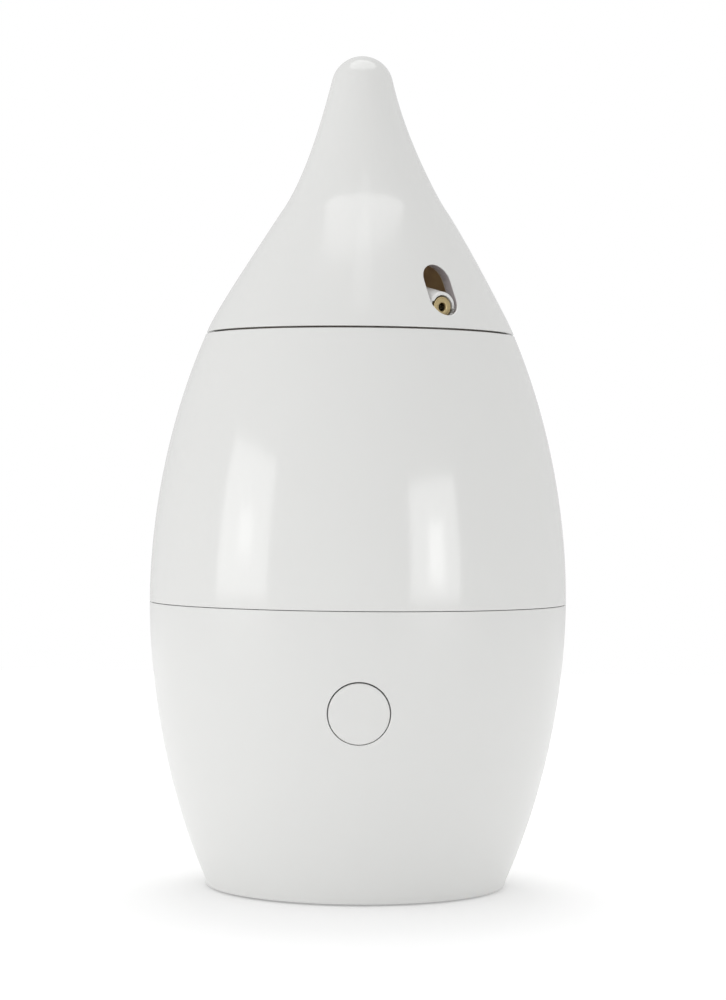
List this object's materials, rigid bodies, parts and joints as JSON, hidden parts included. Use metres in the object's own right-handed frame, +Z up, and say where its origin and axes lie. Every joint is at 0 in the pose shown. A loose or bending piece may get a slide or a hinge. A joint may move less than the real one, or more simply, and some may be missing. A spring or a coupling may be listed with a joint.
{
  "type": "cool mist humidifier",
  "caption": "Drop-shaped tabletop cool mist humidifier: pump base with a push button, lift-off water tank and a turning conical head with a mist slot and brass jet.",
  "frame": {"origin": "on the ground under the middle of the humidifier, level with the undersides of its feet", "axes": "+Z up along the axis of the drop shape, -Y towards the push button, +X to the right of someone facing the button"},
  "size_m": [0.1204, 0.1204, 0.24],
  "materials": {
    "glossy_shell": "glossy off-white moulded ABS",
    "satin_shell": "satin off-white moulded ABS",
    "inner_white": "plain moulded inside parts",
    "clear_vessel": "frosted natural polypropylene",
    "silicone": "soft translucent silicone",
    "foot_rubber": "matt black rubber",
    "black_plastic": "black moulded plastic",
    "circuit_board": "green solder mask",
    "filter_foam": "open-cell dark foam",
    "red_lead": "red insulated wire",
    "black_lead": "black insulated wire",
    "brass": "turned brass",
    "screw_steel": "zinc-plated screw steel",
    "motor_steel": "plated steel"
  },
  "bodies": {
    "base": {"base_shell": "satin_shell", "base_plate": "satin_shell", "foot_1": "foot_rubber", "foot_2": "foot_rubber", "foot_3": "foot_rubber", "foot_4": "foot_rubber", "plate_screw_1": "screw_steel", "plate_screw_2": "screw_steel", "plate_screw_3": "screw_steel", "plate_screw_4": "screw_steel", "base_deck": "inner_white", "deck_screw_1": "screw_steel", "deck_screw_2": "screw_steel", "deck_screw_3": "screw_steel", "spigot_seal": "silicone", "button_guide": "inner_white", "button_spring": "motor_steel", "tactile_switch": "black_plastic", "control_board": "circuit_board", "board_bracket": "inner_white", "board_screw_1": "screw_steel", "board_screw_2": "screw_steel", "driver_chip": "black_plastic", "capacitor": "motor_steel", "dc_jack": "black_plastic", "pump_pad": "foot_rubber", "motor_end_cap": "black_plastic", "motor_can": "motor_steel", "pump_housing": "black_plastic", "diaphragm": "foot_rubber", "valve_cover": "black_plastic", "pump_clamp": "inner_white", "air_tube": "silicone", "inlet_filter": "filter_foam", "power_lead_red": "red_lead", "power_lead_black": "black_lead", "motor_lead_red": "red_lead", "motor_lead_black": "black_lead"},
    "button": {"power_button": "satin_shell", "switch_plunger": "black_plastic"},
    "rotor": {"motor_shaft": "motor_steel", "eccentric": "brass"},
    "tank": {"middle_shell": "glossy_shell", "tank_vessel": "clear_vessel", "riser_tube": "motor_steel", "riser_nut": "brass", "rim_gasket": "silicone"},
    "collar": {"swivel_collar": "black_plastic", "collar_seal": "silicone"},
    "head": {"top_cover": "glossy_shell", "head_deck": "inner_white", "nozzle_block": "glossy_shell", "brass_nozzle": "brass", "liquid_jet": "motor_steel", "dip_tube": "silicone", "inlet_strainer": "filter_foam", "cover_screw_1": "screw_steel", "cover_screw_2": "screw_steel", "cover_screw_3": "screw_steel"}
  },
  "joints": [
    {"name": "button_press", "type": "slide", "parent": "base", "child": "button", "axis": [0, 1, 0], "range_m": [0, 0.001], "stiffness_N_per_m": 1200, "springref_m": -0.0015, "deforming": ["button_spring"]},
    {"name": "motor_spin", "type": "hinge", "parent": "base", "child": "rotor", "pos_m": [-0.024, 0, 0.03], "axis": [0, 0, 1], "continuous": true},
    {"name": "tank_lift", "type": "slide", "parent": "base", "child": "tank", "axis": [0, 0, 1], "range_m": [0, 0.06]},
    {"name": "head_turn", "type": "hinge", "parent": "tank", "child": "collar", "pos_m": [0, 0, 0.16], "axis": [0, 0, 1], "continuous": true},
    {"name": "head_lift", "type": "slide", "parent": "collar", "child": "head", "axis": [0, 0, 1], "range_m": [0, 0.09]}
  ]
}
